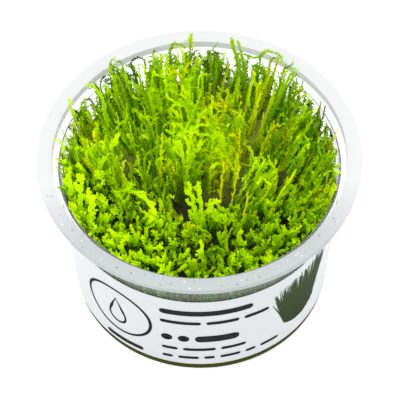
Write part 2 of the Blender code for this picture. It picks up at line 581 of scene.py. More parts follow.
def residue_tree():
    """Scatters flat round bits over a strip."""
    tree, given = new_group("torn_seal_bits", RESIDUE_INPUTS)
    sockets = {"Mesh": given("Geometry"), "Density": given("Density"), "Seed": given("Seed")}
    points = tree.add("GeometryNodeDistributePointsOnFaces", {}, sockets)
    bit = tree.add("GeometryNodeMeshIcoSphere", {}, {"Radius": given("Bit size"), "Subdivisions": 2})
    sockets = {0: (0.35, 0.35, 0.12), 1: (1.0, 1.0, 0.3), 8: given("Seed") + 1}
    size = tree.add("FunctionNodeRandomValue", {"data_type": "FLOAT_VECTOR"}, sockets)
    bits = tree.add("GeometryNodeInstanceOnPoints", {}, {"Points": points, "Instance": bit, "Scale": size})
    end_group(tree, bits, given("Finish"))
    return tree.tree


def residue_finish():
    """Bits of clouded seal, some nearly clear and some grey."""
    finish = Finish("torn_seal")
    spread = finish.noise(700.0, 1.0)
    colour = finish.mixed(((spread - 0.45) * 9.0).held(), (0.20, 0.23, 0.24, 1.0), (0.52, 0.55, 0.56, 1.0))
    return finish.done(finish.principled(Base_Color=colour, Roughness=0.15 + spread * 0.2))


def make_residue(settings):
    """Bits of the torn seal left on the front of the rim."""
    inner = RIM_OPENING_RADIUS + RESIDUE_MARGIN
    outer = RIM_RADIUS - RESIDUE_MARGIN
    strip = [(inner, CUP_HEIGHT), (outer, CUP_HEIGHT)]
    bits = turned("seal_bits", strip, 64, RESIDUE_START, RESIDUE_SWEEP)
    area = RESIDUE_SWEEP / 2 * (outer ** 2 - inner ** 2)
    values = {
        "Density": settings.residue_count / area,
        "Bit size": RESIDUE_RADIUS,
        "Seed": 3,
        "Finish": residue_finish(),
    }
    grow_nodes(bits, residue_tree(), values)
    return fix(bits, "clear_plastic")


class MOSS_OT_tub(bpy.types.Operator):
    """Make the clear tub."""

    bl_idname = "moss.tub"
    bl_label = "Clear tub"

    def execute(self, context):
        make_tub(context.scene.tub_settings)
        make_residue(context.scene.tub_settings)
        return {"FINISHED"}


# ---------------------------------------------------------------- the label

def label_point(turn_from_front, height, lift=0.0):
    """A point on the label's outer face, at an angle from the front towards the right."""
    radius = outer_wall_radius(height) + LABEL_GAP + LABEL_THICKNESS + lift
    return Vector((radius * math.sin(turn_from_front), -radius * math.cos(turn_from_front), height))


def label_film(settings):
    """White satin film: faint cloudiness, fine grain and a soft sheen."""
    finish = Finish("label_film")
    cloud = finish.noise(60.0, 3.0)
    grain = finish.noise(5200.0, 2.0)
    film = finish.principled(
        Base_Color=finish.mixed(cloud, scaled_colour(settings.paper, 0.94), opaque(settings.paper)),
        Roughness=0.38 + grain * 0.16,
        Normal=finish.bump(grain, 0.08, 0.00005),
    )
    return finish.done(film)


def make_label(settings):
    """The wrapped film, with a narrow open seam behind."""
    low = LABEL_LOW + LABEL_TRIM
    inner_low = outer_wall_radius(low) + LABEL_GAP
    inner_high = outer_wall_radius(LABEL_HIGH) + LABEL_GAP
    profile = [
        (inner_high, LABEL_HIGH),
        (inner_high + LABEL_THICKNESS, LABEL_HIGH),
        (inner_low + LABEL_THICKNESS, low),
        (inner_low, low),
        (inner_high, LABEL_HIGH),
    ]
    sweep = 2 * math.pi - LABEL_SEAM_ANGLE
    label = turned("wrap_label", profile, ROUND_STEPS, LABEL_SEAM_TURN, sweep, 30)
    shape = bmesh.new()
    shape.from_mesh(label.data)
    bmesh.ops.remove_doubles(shape, verts=shape.verts, dist=0.002 * MM)
    ends = [edge for edge in shape.edges if edge.is_boundary]
    bmesh.ops.holes_fill(shape, edges=ends, sides=8)
    bmesh.ops.recalc_face_normals(shape, faces=shape.faces)
    shape.to_mesh(label.data)
    shape.free()
    label.data.materials.append(label_film(settings))
    return fix(label, "label_film", "label")


# Each printed line: height of its middle, height of its bars, and its words' lengths, in millimetres
PRINTED_LINES = (
    (25.2, 2.00, (20.5,)),
    (21.0, 1.25, (9.0, 7.2, 5.8)),
    (14.2, 2.60, (2.6, 2.6, 9.8)),
    (9.6, 1.10, (3.6, 7.2, 5.6)),
    (6.0, 1.05, (2.4, 4.6, 2.4, 4.6, 2.4, 4.6)),
)
PRINT_LEFT = math.radians(-18)
PRINT_TILT = 0.7 * MM
WORD_GAP = 1.1 * MM
BACK_LINES = 9
BACK_TOP = 25.0 * MM
BACK_PITCH = 2.3 * MM
BACK_BAR = 0.75 * MM
BACK_COLUMNS = (math.radians(118), math.radians(150))
BADGE_TURN = math.radians(-39)
BADGE_HEIGHT = 17.4 * MM
BADGE_RADIUS = 8.8 * MM
BADGE_LINE = 0.75 * MM
BADGE_BAR = (math.radians(-47), math.radians(-27), 5.4 * MM, 1.5 * MM)
DROP_HALF_WIDTH = 3.4 * MM
DROP_HALF_HEIGHT = 5.2 * MM


class Print:
    """Flat ink patches laid on the label, kept as one list of faces."""

    def __init__(self):
        self.vertices = []
        self.faces = []

    def strip(self, top, bottom):
        """Ink between two rows of (angle, height) points."""
        first = len(self.vertices)
        for (turn_a, high), (turn_b, low) in zip(top, bottom):
            self.vertices.append(label_point(turn_a, high + PRINT_TILT * turn_a, INK_LIFT))
            self.vertices.append(label_point(turn_b, low + PRINT_TILT * turn_b, INK_LIFT))
        for i in range(len(top) - 1):
            corner = first + 2 * i
            self.faces.append((corner, corner + 1, corner + 3, corner + 2))

    def bar(self, left, right, middle, height):
        """A bar with rounded ends, from one angle to another."""
        half = height / 2
        end = half / outer_wall_radius(middle)
        rows = []
        steps = max(2, int((right - left) / math.radians(2)))
        for i in range(steps + 1):
            rows.append((blend_values(left + end, right - end, i / steps), half))
        cap = [(1 - math.cos(a), math.sin(a)) for a in (0.35, 0.8, 1.2)]
        rows = [(left + end * x, half * y) for x, y in cap] + rows
        rows += [(right - end * x, half * y) for x, y in reversed(cap)]
        top = [(turn, middle + rise) for turn, rise in rows]
        bottom = [(turn, middle - rise) for turn, rise in rows]
        self.strip(top, bottom)

    def ring(self, centre_turn, centre_height, shape, line, steps=64):
        """A closed outline of a given line width; shape gives (across, up) in metres for 0..1."""
        radius = outer_wall_radius(centre_height)
        outer = []
        inner = []
        for i in range(steps + 1):
            across, up = shape(i / steps)
            shrink = 1 - line / math.hypot(across, up)
            outer.append((centre_turn + across / radius, centre_height + up))
            inner.append((centre_turn + across * shrink / radius, centre_height + up * shrink))
        self.strip(inner, outer)

    def piece(self, name, material):
        """The patches as one object."""
        made = new_piece(name, self.vertices, self.faces)
        made.data.materials.append(material)
        return made


def print_ink(settings):
    """Printed ink: nearly even, with small gaps of thinner ink."""
    finish = Finish("print_ink")
    thin = tuple(c + 0.02 for c in settings.ink)
    spread = ((finish.noise(2600.0, 3.0) - 0.52) * 6.0).held()
    ink = finish.principled(
        Base_Color=finish.mixed(spread * 0.6, opaque(settings.ink), opaque(thin)),
        Roughness=0.6 + spread * 0.1,
        Specular_IOR_Level=0.02,
    )
    return finish.done(ink)


def badge_ring(share):
    """A circle, taken anticlockwise."""
    angle = 2 * math.pi * share
    return BADGE_RADIUS * math.cos(angle), BADGE_RADIUS * math.sin(angle)


def badge_drop(share):
    """A water drop: round below, drawn to a point above, taken clockwise from its point."""
    angle = 2 * math.pi * share
    across = DROP_HALF_WIDTH * math.sin(angle) * math.sin(angle / 2) ** 1.5
    up = DROP_HALF_HEIGHT * math.cos(angle)
    return across, up + 0.02 * MM


def make_print(settings):
    """Plain bars where a label has its words, and a drop in a ring where it has its sign."""
    ink = Print()
    for middle, height, words in PRINTED_LINES:
        middle *= MM
        left = PRINT_LEFT
        for word in words:
            right = left + word * MM / outer_wall_radius(middle)
            ink.bar(left, right, middle, height * MM)
            left = right + WORD_GAP / outer_wall_radius(middle)
    ink.ring(BADGE_TURN, BADGE_HEIGHT, badge_ring, BADGE_LINE, 96)
    ink.ring(BADGE_TURN, BADGE_HEIGHT, badge_drop, BADGE_LINE, 64)
    ink.bar(*BADGE_BAR)
    rng = random.Random(5)
    for column in BACK_COLUMNS:
        for line in range(BACK_LINES):
            middle = BACK_TOP - BACK_PITCH * line
            length = rng.uniform(9.0, 13.0) * MM
            ink.bar(column, column + length / outer_wall_radius(middle), middle, BACK_BAR)
    return fix(ink.piece("label_print", print_ink(settings)), "label_film")


TUFT_LEFT = math.radians(32)
TUFT_RIGHT = math.radians(62)
TUFT_LOW = 8.0 * MM
TUFT_HIGH = 28.6 * MM


def make_tuft_print(settings):
    """A printed tuft of moss: many thin blades fanning up from a round lower edge."""
    ink = Print()
    rng = random.Random(8)
    middle = (TUFT_LEFT + TUFT_RIGHT) / 2
    half = (TUFT_RIGHT - TUFT_LEFT) / 2
    for _ in range(settings.tuft_strokes):
        lean = rng.uniform(-1, 1)
        foot_turn = middle + half * 0.55 * lean + rng.uniform(-0.02, 0.02)
        foot = TUFT_LOW + 2.6 * MM * lean * lean + rng.uniform(0, 1.2) * MM
        reach = rng.uniform(0.55, 1.0)
        tip_turn = middle + half * lean * (0.7 + 0.3 * reach) + rng.uniform(-0.05, 0.05)
        tip = blend_values(TUFT_LOW, TUFT_HIGH, reach * (0.92 + 0.08 * lean))
        wide = rng.uniform(0.22, 0.5) * MM / outer_wall_radius(foot)
        centre = [
            (blend_values(foot_turn, tip_turn, s), blend_values(foot, max(tip, foot + 2 * MM), s), s)
            for s in (0.0, 0.35, 0.7, 1.0)
        ]
        left = [(turn - wide * (1 - 0.85 * s), height) for turn, height, s in centre]
        right = [(turn + wide * (1 - 0.85 * s), height) for turn, height, s in centre]
        ink.strip(right, left)
    return fix(ink.piece("label_tuft", tuft_ink(settings)), "label_film")


def tuft_ink(settings):
    """Olive ink that lightens in streaks towards the blades' ends."""
    finish = Finish("tuft_ink")
    height = finish.place().part("Z").rise(TUFT_LOW, TUFT_HIGH - TUFT_LOW)
    streaks = (height * finish.noise(1400.0, 3.0) * 1.3).held()
    ink = finish.principled(
        Base_Color=finish.mixed(streaks, opaque(settings.tuft), scaled_colour(settings.tuft, 2.2)),
        Roughness=0.6,
        Specular_IOR_Level=0.02,
    )
    return finish.done(ink)


class MOSS_OT_label(bpy.types.Operator):
    """Make the wrapped label and what is printed on it."""

    bl_idname = "moss.label"
    bl_label = "Label"

    def execute(self, context):
        settings = context.scene.label_settings
        make_label(settings)
        make_print(settings)
        make_tuft_print(settings)
        return {"FINISHED"}


# ---------------------------------------------------------------- gel and old growth

def gel_finish():
    """Murky olive gel."""
    finish = Finish("growing_gel")
    murk = finish.noise(320.0, 4.0)
    gel = finish.principled(
        Base_Color=finish.mixed(murk, (0.055, 0.065, 0.010, 1.0), (0.12, 0.135, 0.03, 1.0)),
        Roughness=0.12 + murk * 0.1,
        Subsurface_Weight=0.2,
        Subsurface_Radius=(0.001, 0.0012, 0.0006),
        Normal=finish.bump(finish.noise(900.0, 2.0), 0.3, 0.0003),
    )
    return finish.done(gel)


# Room between the gel and the wall
GEL_CLEARANCE = 0.15 * MM


def make_gel():
    """The disc of growing gel, with a meniscus up the wall."""
    low = GEL_BOX[0].z
    inner_low = outer_wall_radius(low) - WALL - GEL_CLEARANCE
    inner_high = outer_wall_radius(GEL_TOP) - WALL - GEL_CLEARANCE
    profile = [
        (0.0, GEL_TOP - 0.5 * MM),
        (inner_high * 0.8, GEL_TOP - 0.45 * MM),
        (inner_high - 0.8 * MM, GEL_TOP - 0.3 * MM),
        (inner_high, GEL_TOP),
        (inner_low, low + FOOT_CORNER),
        (inner_low - FOOT_CORNER, low),
        (0.0, low),
    ]
    gel = turned("gel_disc", profile)
    gel.data.materials.append(gel_finish())
    return fix(gel, "growing_gel", "growing_gel")


# The moss surface, in millimetres: heights over the tub's foot, and the brown hollow in the carpet
CREST_FRONT = 35.5
CREST_BACK = 42.8
FLOOR_LEVEL = 26.5
CARPET_LEVEL = 32.5
INNER_RADIUS = 29.3
HOLLOW_PLACE = (-1.5, -3.0)
HOLLOW_DEPTH = 8.5
HOLLOW_SPREAD = 38.0
BANK_START_Y = -8.0
BANK_SPAN_Y = 9.0


def crest(turn):
    """How high the moss reaches at the wall: low in front, above the rim at the sides and behind."""
    return blend_values(CREST_FRONT, CREST_BACK, smooth_step(math.cos(turn) + 0.75))


def surface_level(x, y):
    """Height of the moss: a carpet in front, a hollow in the middle, a bank rising to the wall behind."""
    radius = math.hypot(x, y)
    share = min(1.0, radius / INNER_RADIUS)
    turn = math.atan2(x, y)
    bank = blend_values(FLOOR_LEVEL, crest(turn), share ** 0.9)
    carpet = blend_values(CARPET_LEVEL, crest(turn), share ** 3)
    off_hollow = (x - HOLLOW_PLACE[0]) ** 2 + (y - HOLLOW_PLACE[1]) ** 2
    hollow = HOLLOW_DEPTH * math.exp(-off_hollow / HOLLOW_SPREAD)
    behind = smooth_step((y - BANK_START_Y) / BANK_SPAN_Y)
    return blend_values(carpet - hollow, bank, behind)


def old_growth_finish():
    """Old matted stems: dark brown and olive tangle, with painted light towards the back."""
    finish = Finish("old_growth")
    tangle = finish.noise(1500.0, 5.0, 0.65)
    patch = finish.noise(240.0, 2.0)
    brown = finish.mixed(tangle, (0.008, 0.006, 0.003, 1.0), (0.060, 0.042, 0.012, 1.0))
    green = finish.mixed(tangle, (0.008, 0.020, 0.002, 1.0), (0.045, 0.095, 0.006, 1.0))
    # Painted light: a pale green towards the back, where the bright back wall would show between the stems.
    light = finish.mixed(tangle, (0.06, 0.11, 0.002, 1.0), (0.50, 0.60, 0.05, 1.0))
    behind = finish.place().part("Y").rise(1.0 * MM, 9.0 * MM)
    under = finish.mixed(((patch - 0.45) * 8.0).held(), brown, green)
    surface = finish.principled(
        Base_Color=finish.mixed(behind, under, light),
        Roughness=0.85,
        Normal=finish.bump(tangle, 1.0, 0.0012),
    )
    return finish.done(surface)


# The old growth, in millimetres: rings from its middle to its edge and on down to the gel
OLD_RINGS = 46
OLD_TURNS = 150
OLD_DEPTH = 7.5
OLD_RADIUS = 28.6
OLD_TOP_SHARE = 0.72
OLD_EDGE_DROP = 4.0
OLD_LUMP = 0.28
OLD_CLEARANCE = 0.85


def make_old_growth():
    """The matted base of old growth, a lumpy turned mass a few millimetres under the live tips."""
    rng = random.Random(21)
    bottom = GEL_TOP / MM + 0.3
    waves = [(rng.uniform(0.3, 1.3), rng.uniform(0.3, 1.3), rng.uniform(0, 6.28)) for _ in range(9)]
    vertices = []
    faces = []
    for ring in range(OLD_RINGS + 1):
        share = ring / OLD_RINGS
        for step in range(OLD_TURNS):
            turn = 2 * math.pi * step / OLD_TURNS
            out = min(1.0, share / OLD_TOP_SHARE)
            across = OLD_RADIUS * out
            x = across * math.sin(turn)
            y = across * math.cos(turn)
            lump = sum(math.sin(a * x + b * y + c) for a, b, c in waves) * OLD_LUMP
            top = surface_level(x, y) - OLD_DEPTH + lump - OLD_EDGE_DROP * out ** 6
            down = max(0.0, (share - OLD_TOP_SHARE) / (1 - OLD_TOP_SHARE))
            height = blend_values(top, bottom, down)
            limit = inner_wall_mm(height) - OLD_CLEARANCE
            across = min(across, limit + 0.3 * math.sin(7 * turn + height))
            vertices.append(around(turn, max(across, 0.02), height) * MM)
    for ring in range(OLD_RINGS):
        for step in range(OLD_TURNS):
            after = (step + 1) % OLD_TURNS
            here = ring * OLD_TURNS
            there = here + OLD_TURNS
            faces.append((here + step, there + step, there + after, here + after))
    first_ring = tuple(range(OLD_TURNS))
    last_ring = tuple(OLD_RINGS * OLD_TURNS + step for step in reversed(range(OLD_TURNS)))
    faces += [first_ring, last_ring]
    growth = new_piece("old_growth", vertices, faces)
    shape = bmesh.new()
    shape.from_mesh(growth.data)
    bmesh.ops.recalc_face_normals(shape, faces=shape.faces)
    shape.to_mesh(growth.data)
    shape.free()
    growth.data.materials.append(old_growth_finish())
    return fix(growth, "moss_mat", "moss_mat")


class MOSS_OT_base(bpy.types.Operator):
    """Make the gel and the old growth on it."""

    bl_idname = "moss.base"
    bl_label = "Gel and old growth"

    def execute(self, context):
        make_gel()
        make_old_growth()
        return {"FINISHED"}


# ---------------------------------------------------------------- fronds

def leaf_shape(name):
    """One leaf, lying along X from its foot, its face up: pointed, slightly folded and drooping."""
    vertices = [(0, 0, 0), (0.55, -0.24, 0.05), (0.55, 0.24, 0.05), (1, 0, -0.05)]
    return new_piece(name, vertices, [(0, 1, 3), (0, 3, 2)], False)


FROND_INPUTS = (
    ("Leaf", "NodeSocketObject"),
    ("Leaf length", "NodeSocketFloat"),
    ("Leaf gap", "NodeSocketFloat"),
    ("Leaf angle", "NodeSocketFloat"),
    ("Tip taper", "NodeSocketFloat"),
    ("Stem radius", "NodeSocketFloat"),
    ("Stem sides", "NodeSocketInt"),
    ("Seed", "NodeSocketInt"),
    ("Finish", "NodeSocketMaterial"),
)


def frond_tree():
    """Leafs every centre line in two rows and gives it a stem."""
    tree, given = new_group("leafy_fronds", FROND_INPUTS)

    def trait(name, kind="FLOAT"):
        return tree.add("GeometryNodeInputNamedAttribute", {"data_type": kind}, {"Name": name})

    def chance(low, high, salt):
        sockets = {2: low, 3: high, 8: given("Seed") + salt}
        return tree.add("FunctionNodeRandomValue", {"data_type": "FLOAT"}, sockets, 1)

    def spaced_out(gap):
        return tree.add("GeometryNodeResampleCurve", {"mode": "LENGTH"}, {0: lines, "Length": gap})

    lines = tree.add("GeometryNodeMeshToCurve", {}, {"Mesh": given("Geometry")})
    spaced = spaced_out(given("Leaf gap"))
    index = tree.add("GeometryNodeSplineParameter", {}, {}, "Index")
    row = (index % 2.0) * 2.0 - 1.0
    whole = tree.add("GeometryNodeSplineLength", {}, {}, "Length")
    from_tip = (1.0 - trait("reach")) * whole
    opening = (from_tip / given("Tip taper") + 0.42).least(1.0)
    angle = given("Leaf angle") * (opening * 0.6 + 0.4) * chance(0.75, 1.25, 1)
    heading = trait("heading", "FLOAT_VECTOR")
    side = trait("side", "FLOAT_VECTOR")
    face = tree.crossed(heading, side)
    forward = tree.scaled(heading, angle.cosine())
    outward = tree.scaled(side, angle.sine() * row)
    lifted = tree.scaled(face, chance(-0.7, 0.7, 2))
    direction = tree.summed(tree.summed(forward, outward), lifted)
    tipped = tree.summed(face, tree.scaled(side, chance(-0.3, 0.3, 3)))
    axes = {"Primary Axis": direction, "Secondary Axis": tipped}
    turn = tree.add("FunctionNodeAxesToRotation", {"primary_axis": "X", "secondary_axis": "Z"}, axes)
    size = given("Leaf length") * trait("girth") * opening * chance(0.8, 1.15, 4)
    sockets = {"Object": given("Leaf"), "As Instance": True}
    leaf = tree.add("GeometryNodeObjectInfo", {}, sockets, "Geometry")
    sockets = {"Points": spaced, "Instance": leaf, "Rotation": turn, "Scale": size}
    leaves = tree.add("GeometryNodeInstanceOnPoints", {}, sockets)
    coarse = spaced_out(given("Leaf gap") * 6.0)
    sockets = {"Resolution": given("Stem sides"), "Radius": 1.0}
    outline = tree.add("GeometryNodeCurvePrimitiveCircle", {"mode": "RADIUS"}, sockets)
    thickness = given("Stem radius") * opening
    sockets = {"Curve": coarse, "Profile Curve": outline, "Scale": thickness, "Fill Caps": True}
    stems = tree.add("GeometryNodeCurveToMesh", {}, sockets)
    joined = tree.tree.nodes.new("GeometryNodeJoinGeometry")
    tree.tree.links.new(stems.output, joined.inputs[0])
    tree.tree.links.new(leaves.output, joined.inputs[0])
    end_group(tree, Socket(tree, joined.outputs[0]), given("Finish"))
    return tree.tree


# What each point of a centre line carries; glow is the leaves' painted light and shade together with their
# age, low at the foot and high at the young tips
NUMBERS = ("reach", "glow", "tint", "warm", "girth")
DIRECTIONS = ("heading", "side")


class Lines:
    """Centre lines of fronds in millimetres, with what each point tells its leaves."""

    def __init__(self):
        self.points = []
        self.edges = []
        self.traits = {name: [] for name in NUMBERS + DIRECTIONS}

    def add(self, line, face, glow, tint, warm=0.0, girth=1.0):
        """Adds one line. Glow, the painted light and shade of its leaves, is a pair, or a function of the
        share of its length.
        """
        first = len(self.points)
        last = len(line) - 1
        for i, point in enumerate(line):
            share = i / last
            heading = (line[min(i + 1, last)] - line[max(i - 1, 0)]).normalized()
            side = face.cross(heading)
            if side.length < 0.05:
                side = Vector((1, 0.3, 0)).cross(heading)
            self.points.append(point)
            if i:
                self.edges.append((first + i - 1, first + i))
            lit = glow(share) if callable(glow) else blend_values(glow[0], glow[1], share)
            values = {"reach": share, "glow": lit, "tint": tint, "warm": warm, "girth": girth}
            values.update({"heading": heading, "side": side.normalized()})
            for name, value in values.items():
                self.traits[name].append(value)

    def guide(self, name):
        """The lines as a mesh of edges, in metres."""
        mesh = bpy.data.meshes.new(name)
        mesh.from_pydata([point * MM for point in self.points], self.edges, [])
        for trait in NUMBERS:
            made = mesh.attributes.new(trait, "FLOAT", "POINT")
            made.data.foreach_set("value", self.traits[trait])
        for trait in DIRECTIONS:
            made = mesh.attributes.new(trait, "FLOAT_VECTOR", "POINT")
            made.data.foreach_set("vector", [c for vector in self.traits[trait] for c in vector])
        return link(bpy.data.objects.new(name, mesh))


def moss_finish(settings):
    """Leaf colour from each point's glow, warmth and tint, half lit through, with a waxy face and a painted
    glow of its own where the glow is high.
    """
    finish = Finish("moss_frond")
    glow = finish.trait("glow")
    tint = finish.trait("tint")
    warm = finish.trait("warm")
    mottle = finish.noise(2400.0, 2.0)
    lit = (glow + (mottle - 0.5) * 0.35 + (tint - 0.5) * 0.16).held()
    stops = (
        (0.0, opaque(settings.old)),
        (0.22, opaque(settings.shaded)),
        (0.50, opaque(settings.leafy)),
        (0.76, opaque(settings.young)),
        (1.0, opaque(settings.tip)),
    )
    green = finish.ramp(lit, stops)
    cool = finish.mixed(((tint - 0.6) * 1.2).held(), green, (0.04, 0.25, 0.0, 1.0))
    colour = finish.mixed(warm, cool, opaque(settings.yellow))
    face = finish.principled(
        Base_Color=colour,
        Roughness=0.42 + mottle * 0.2,
        Specular_IOR_Level=0.12,
        # Painted glow: the leaves give off their own colour, more where their glow is high.
        Emission_Color=finish.mixed(lit * lit, BLACK, colour),
        Emission_Strength=0.33,
    )
    through = finish.add("ShaderNodeBsdfTranslucent", {}, {"Color": (0.62, 0.85, 0.0, 1.0)})
    return finish.done(finish.mixed_shaders(lit * 0.55, face, through))


class Grower:
    """Turns centre lines into leafy pieces; keeps the shared tree and finish."""

    def __init__(self, settings):
        self.settings = settings
        self.tree = frond_tree()
        self.finish = moss_finish(settings)
        self.seed = 0

    def piece(self, name, lines, nodes=(), gap=1.0, length=1.0, taper=1.0, spread=1.0):
        """Grows one piece and ties it down; the last four numbers are factors on the settings."""
        self.seed += 20
        leaf = leaf_shape("leaf_" + name)
        obj = lines.guide(name)
        values = {
            "Leaf": leaf,
            "Leaf length": self.settings.leaf_length * length,
            "Leaf gap": self.settings.leaf_gap * gap,
            "Leaf angle": self.settings.leaf_angle * spread,
            "Tip taper": self.settings.tip_taper * taper,
            "Stem radius": self.settings.stem_radius,
            "Stem sides": 3,
            "Seed": self.seed,
            "Finish": self.finish,
        }
        grow_nodes(obj, self.tree, values)
        bpy.data.objects.remove(leaf)
        return fix(obj, "moss_shoot", *nodes)


def curve_points(start, end, bow, curl, count, curl_from=0.6):
    """Points from start to end, closer near the tip, bowed in the middle and curled over at the end."""
    points = []
    for i in range(count):
        t = 1 - (1 - i / (count - 1)) ** 1.6
        late = max(0.0, t - curl_from) / (1 - curl_from)
        points.append(start + (end - start) * t + bow * (4 * t * (1 - t)) + curl * (late * late))
    return points


def hooked(line, toward, radius, sweep, steps=6):
    """The line with its tip curled over on an arc."""
    heading = (line[-1] - line[-2]).normalized()
    out = (toward - heading * toward.dot(heading)).normalized()
    centre = line[-1] + out * radius
    arc = []
    for step in range(1, steps + 1):
        angle = sweep * step / steps
        arc.append(centre - out * (radius * math.cos(angle)) + heading * (radius * math.sin(angle)))
    return line + arc


def inside(point, margin=0.75):
    """The point moved in, where it is below the rim, so that its leaves clear the wall."""
    if point.z > RIM_MM + 0.4:
        return point
    if point.z > STEP_HEIGHT / MM + 1.0:
        limit = RIM_OPENING_RADIUS / MM - margin
    else:
        limit = inner_wall_mm(point.z) - margin
    across = math.hypot(point.x, point.y)
    if across <= limit:
        return point
    return Vector((point.x * limit / across, point.y * limit / across, point.z))


def kept_inside(points, margin=0.75):
    return [inside(point, margin) for point in points]


def random_direction(rng):
    """A direction anywhere on the sphere."""
    angle = rng.uniform(0, 2 * math.pi)
    rise = rng.uniform(-1, 1)
    flat = math.sqrt(1 - rise * rise)
    return Vector((flat * math.cos(angle), flat * math.sin(angle), rise))


def branch(lines, line, at, side, length, face, glow, tint, warm, girth, rng):
    """A side branch that leaves a line at a share of its length and bends along with it."""
    last = len(line) - 1
    index = min(last - 1, max(1, int(at * last)))
    heading = (line[index + 1] - line[index - 1]).normalized()
    out = face.cross(heading).normalized() * side
    start = line[index]
    reach = (heading * 0.82 + out * 0.57 + face * rng.uniform(-0.2, 0.2)).normalized() * length
    bow = out * (length * 0.10)
    points = kept_inside(curve_points(start, start + reach, bow, heading * (length * 0.15), 6))
    lines.add(points, face, glow, tint, warm, girth)


# Radii in millimetres over which the stems turn to the slim ones at the wall, which get painted shade on
# their tops
OUTERMOST_FROM = 22.0
OUTERMOST_SPAN = 5.0


def back_stem(lines, rng, turn, outer, clump):
    """One long stem of the back stand, from the old growth up and out to its place on the bank."""
    outer = max(2.0, min(30.3, outer))
    edge = around(turn, outer, 0.0)
    tip_height = surface_level(edge.x, edge.y) + clump["rise"] + rng.gauss(0.0, 0.9)
    root_radius = max(1.0, outer * clump["upright"] + rng.gauss(0, 1.2))
    root_turn = turn + clump["twist"] + rng.gauss(0, 0.05)
    root_height = max(10.0, tip_height - rng.uniform(24.0, 30.0))
    start = around(root_turn, root_radius, root_height)
    end = around(turn, outer, tip_height)
    sideways = around(turn + math.pi / 2, 1.0, 0.0)
    bow = sideways * rng.gauss(0, 0.6) + around(turn, rng.gauss(0.6, 0.6), 0.0)
    sweep = 0.2 + 2.6 * rng.random() ** 1.6
    curl_radius = rng.uniform(0.9, 2.2)
    end.z -= curl_radius * math.sin(min(sweep, math.pi / 2))
    toward = sideways * rng.choice((-1, 1)) + around(turn, rng.gauss(0.0, 0.6), 0.0)
    line = curve_points(start, end, bow, sideways * rng.gauss(0, 0.8), 12, 0.6)
    line = kept_inside(hooked(line, toward, curl_radius, sweep))
    face = (-around(turn, 1.0, 0.0) + random_direction(rng) * 0.9).normalized()
    tint = min(1.0, max(0.0, clump["tint"] + rng.gauss(0, 0.15)))
    body = clump["glow"] + rng.gauss(0, 0.12)
    outermost = smooth_step((outer - OUTERMOST_FROM) / OUTERMOST_SPAN)
    tip_glow = body + 0.40 * rng.random() - 0.12 - 0.12 * outermost
    warm = clump["warm"] * rng.uniform(0.3, 1.0)

    # Painted shade: darker towards the foot, and on the tops of the stems at the wall.
    def glow(share):
        if share > 0.92:
            return tip_glow
        painted_top_shade = 0.36 * outermost * smooth_step((share - 0.72) / 0.14)
        return body * (0.42 + 0.58 * smooth_step(share / 0.65)) - painted_top_shade

    girth = rng.uniform(0.80, 1.05) - 0.14 * outermost
    lines.add(line, face, glow, tint, warm, girth)
    if rng.random() < 0.3 - 0.24 * outermost:
        lit = (body - 0.1, body + 0.3)
        reach = rng.uniform(2.0, 4.5)
        at = rng.uniform(0.6, 0.9)
        side = rng.choice((-1, 1))
        branch(lines, line, at, side, reach, face, lit, tint, 0.0, girth * 0.8, rng)


# Angles where the back wall shows between its clumps, and the share of clumps missing there
BACK_GAPS = ((-0.28, -0.20), (-0.09, -0.04), (0.18, 0.60))
BACK_GAP_SHARE = 0.75


def back_stand(lines, rng, turns, clumps, stems_each, reach, glow):
    """Clumps of long stems that fan up to the rim, behind and at the sides."""
    for number in range(clumps):
        turn = blend_values(turns[0], turns[1], (number + rng.random()) / clumps)
        outer = blend_values(reach[1], reach[0], rng.random() ** 1.3)
        sparse = any(low < turn < high for low, high in BACK_GAPS) and rng.random() < BACK_GAP_SHARE
        if outer > 21.0 and sparse:
            outer = 20.0 * rng.random() ** 0.5
        middle = math.exp(-((turn - 0.65) / 0.5) ** 2)
        yellowed = rng.random() < 0.10 + 0.65 * middle * smooth_step((25.0 - outer) / 6.0)
        # The clumps towards the right get a little painted shade.
        right = smooth_step((turn - 0.85) / 0.4)
        clump = {
            "rise": rng.gauss(-0.2, 2.2),
            "upright": rng.uniform(0.40, 0.62),
            "twist": rng.gauss(0, 0.06),
            "tint": rng.random() + 0.25 * right,
            "glow": rng.gauss(glow, 0.17) - 0.07 * right,
            "warm": rng.uniform(0.3, 0.85) if yellowed else 0.0,
        }
        for _ in range(stems_each):
            spread = rng.gauss(0, 1.5) / max(4.0, outer)
            back_stem(lines, rng, turn + spread, outer + rng.gauss(0, 1.1), clump)


def spread_places(rng, count, gap, allowed):
    """Random places over the tub, at least a gap apart, where allowed says so."""
    places = []
    tries = 0
    while len(places) < count and tries < count * 60:
        tries += 1
        radius = INNER_RADIUS * math.sqrt(rng.random())
        turn = rng.uniform(-math.pi, math.pi)
        x = radius * math.sin(turn)
        y = radius * math.cos(turn)
        if not allowed(x, y):
            continue
        if all((x - a) ** 2 + (y - b) ** 2 > gap * gap for a, b in places):
            places.append((x, y))
    return places


def carpet_edge(x):
    """Y of the line where the front carpet meets the bank of long stems."""
    return -4.5 + 4.0 * smooth_step((-x - 8.0) / 14.0) + 3.0 * smooth_step((x - 20) / 9.0)


# The bare middle of the brown hollow: its place and its radius
BARE_PLACE = (-3.0, -5.0)
BARE_RADIUS = 3.2


def in_carpet(x, y):
    """Whether a place belongs to the front carpet and is clear of the bare middle of the hollow."""
    off_bare = math.hypot(x - BARE_PLACE[0], y - BARE_PLACE[1])
    return y < carpet_edge(x) and off_bare > BARE_RADIUS


